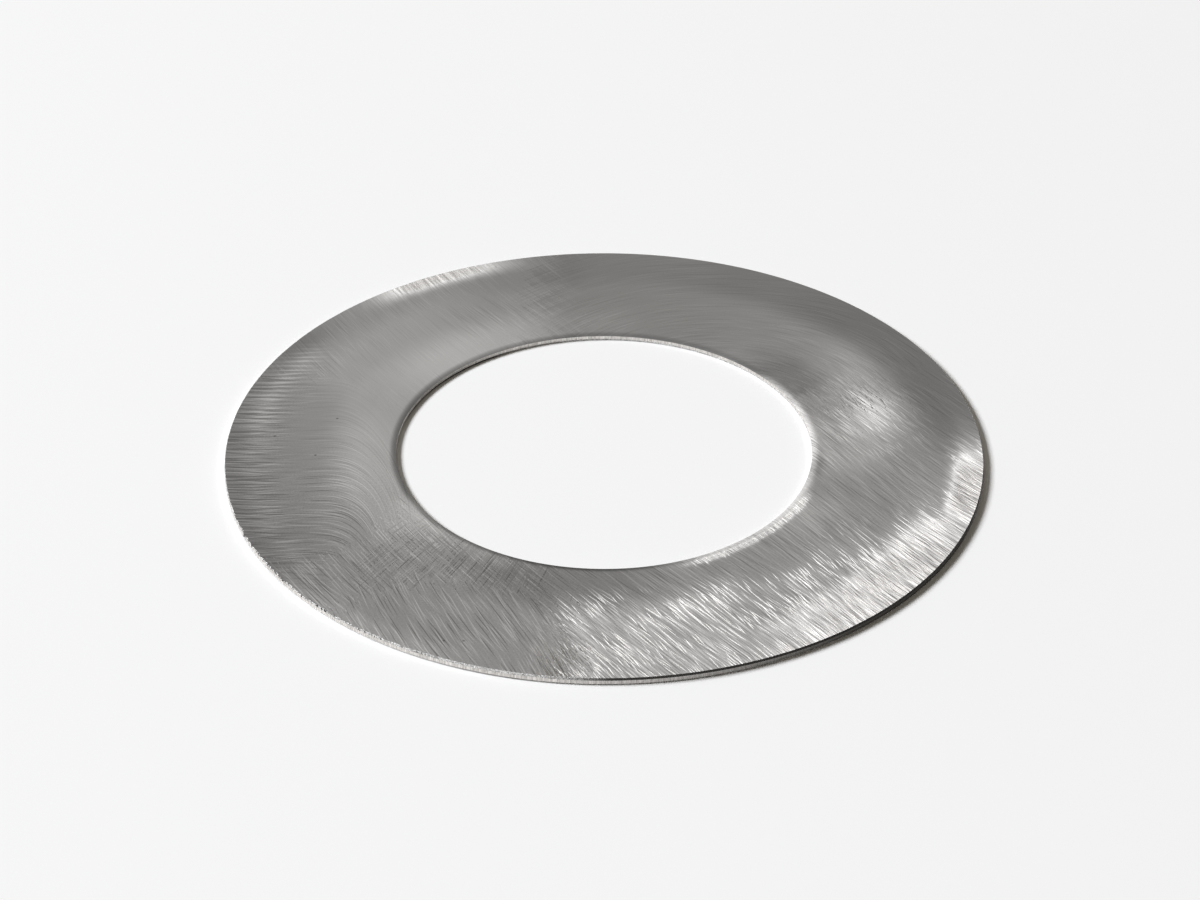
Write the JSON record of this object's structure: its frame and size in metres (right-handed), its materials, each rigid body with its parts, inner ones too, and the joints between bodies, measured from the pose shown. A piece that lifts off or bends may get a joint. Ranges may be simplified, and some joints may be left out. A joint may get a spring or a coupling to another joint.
{
  "type": "hardened shim",
  "caption": "Thin flat hardened steel ring shim with a plain bore, brushed faces and blanked edges, used to set a gap on a shaft.",
  "frame": {"origin": "centre of the bore at the lower face, the face that the shim lies on", "axes": "+Z along the bore axis, up out of the face whose bore edge is rolled over; X and Y lie in the lower face"},
  "size_m": [0.04, 0.04, 0.0004],
  "materials": {
    "hardened_steel": "hand-brushed bare hardened steel with curved crossing strokes, no coating"
  },
  "bodies": {
    "root": {"shim_ring": "hardened_steel"}
  },
  "joints": []
}
